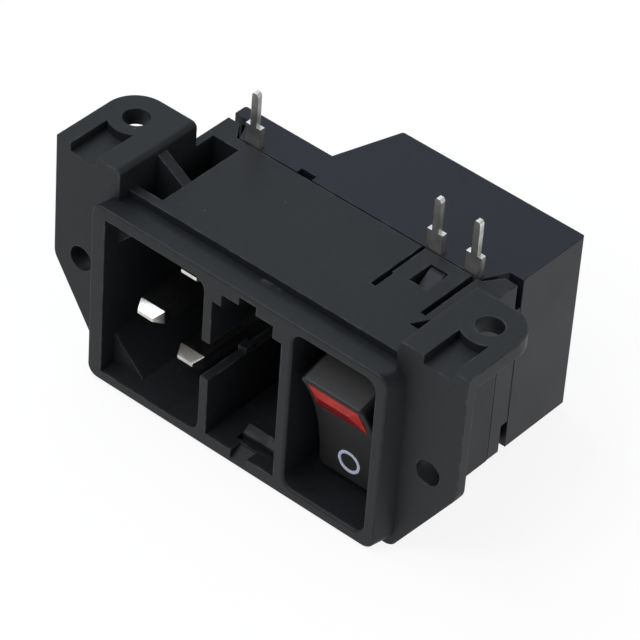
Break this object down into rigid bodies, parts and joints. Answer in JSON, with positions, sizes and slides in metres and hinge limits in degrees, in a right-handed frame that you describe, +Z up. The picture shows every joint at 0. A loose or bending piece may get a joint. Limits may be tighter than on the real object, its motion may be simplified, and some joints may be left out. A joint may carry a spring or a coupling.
{
  "type": "iec panel inlet",
  "caption": "Panel-mount mains inlet with a recessed three-pin socket, an open fuse bay and a lit rocker switch, with board ears and solder pins on top.",
  "frame": {"origin": "middle of the two panel screw holes, on the flange's front face", "axes": "+X along the bezel from the inlet to the switch, +Y into the panel, +Z up towards the board ears"},
  "size_m": [0.0658, 0.0376, 0.0366],
  "materials": {
    "housing_black": "fine moulded grain",
    "cover_black": "fine moulded grain",
    "rocker_black": "satin",
    "lens_red": "translucent",
    "pin_nickel": "bright nickel plate",
    "terminal_tin": "tin plate",
    "contact_brass": "stamped strip",
    "contact_silver": "silver alloy",
    "plunger_white": "moulded",
    "spring_steel": "drawn wire",
    "lamp_glass": "clear",
    "resistor_body": "lacquer"
  },
  "bodies": {
    "housing": {"inlet_housing": "housing_black", "rear_cover": "cover_black", "line_pin": "pin_nickel", "neutral_pin": "pin_nickel", "earth_pin": "pin_nickel", "earth_terminal": "terminal_tin", "line_output_terminal": "terminal_tin", "line_fixed_tip": "contact_silver", "line_inlet_contact": "contact_brass", "line_switch_feed": "contact_brass", "neutral_output_terminal": "terminal_tin", "neutral_fixed_tip": "contact_silver", "neutral_inlet_contact": "contact_brass", "neutral_switch_feed": "contact_brass"},
    "rocker": {"rocker": "rocker_black", "rocker_lens": "lens_red", "indicator_lamp": "lamp_glass", "lamp_resistor": "resistor_body", "line_plunger_spring": "spring_steel", "neutral_plunger_spring": "spring_steel"},
    "line_plunger": {"line_plunger": "plunger_white"},
    "line_seesaw": {"line_seesaw_contact": "contact_brass", "line_moving_tip": "contact_silver"},
    "neutral_plunger": {"neutral_plunger": "plunger_white"},
    "neutral_seesaw": {"neutral_seesaw_contact": "contact_brass", "neutral_moving_tip": "contact_silver"}
  },
  "joints": [
    {"name": "rocker_tilt", "type": "hinge", "parent": "housing", "child": "rocker", "pos_m": [0.01505, 0.0092, 0.00005], "axis": [-1, 0, 0], "range_deg": [0, 32.8]},
    {"name": "line_seesaw_tilt", "type": "hinge", "parent": "housing", "child": "line_seesaw", "pos_m": [0.01245, 0.01785, 0.00005], "axis": [-1, 0, 0], "range_deg": [-16, 0]},
    {"name": "line_plunger_slide", "type": "slide", "parent": "rocker", "child": "line_plunger", "axis": [0, -0.9593, -0.2823], "range_m": [0, 0.0006], "stiffness_N_per_m": 100, "deforming": ["line_plunger_spring"]},
    {"name": "neutral_seesaw_tilt", "type": "hinge", "parent": "housing", "child": "neutral_seesaw", "pos_m": [0.01765, 0.01785, 0.00005], "axis": [-1, 0, 0], "range_deg": [-16, 0]},
    {"name": "neutral_plunger_slide", "type": "slide", "parent": "rocker", "child": "neutral_plunger", "axis": [0, -0.9593, -0.2823], "range_m": [0, 0.0006], "stiffness_N_per_m": 100, "deforming": ["neutral_plunger_spring"]}
  ],
  "couplings": [
    {"joint": "line_seesaw_tilt", "follows": "rocker_tilt", "ratio": -0.4878},
    {"joint": "neutral_seesaw_tilt", "follows": "rocker_tilt", "ratio": -0.4878}
  ]
}
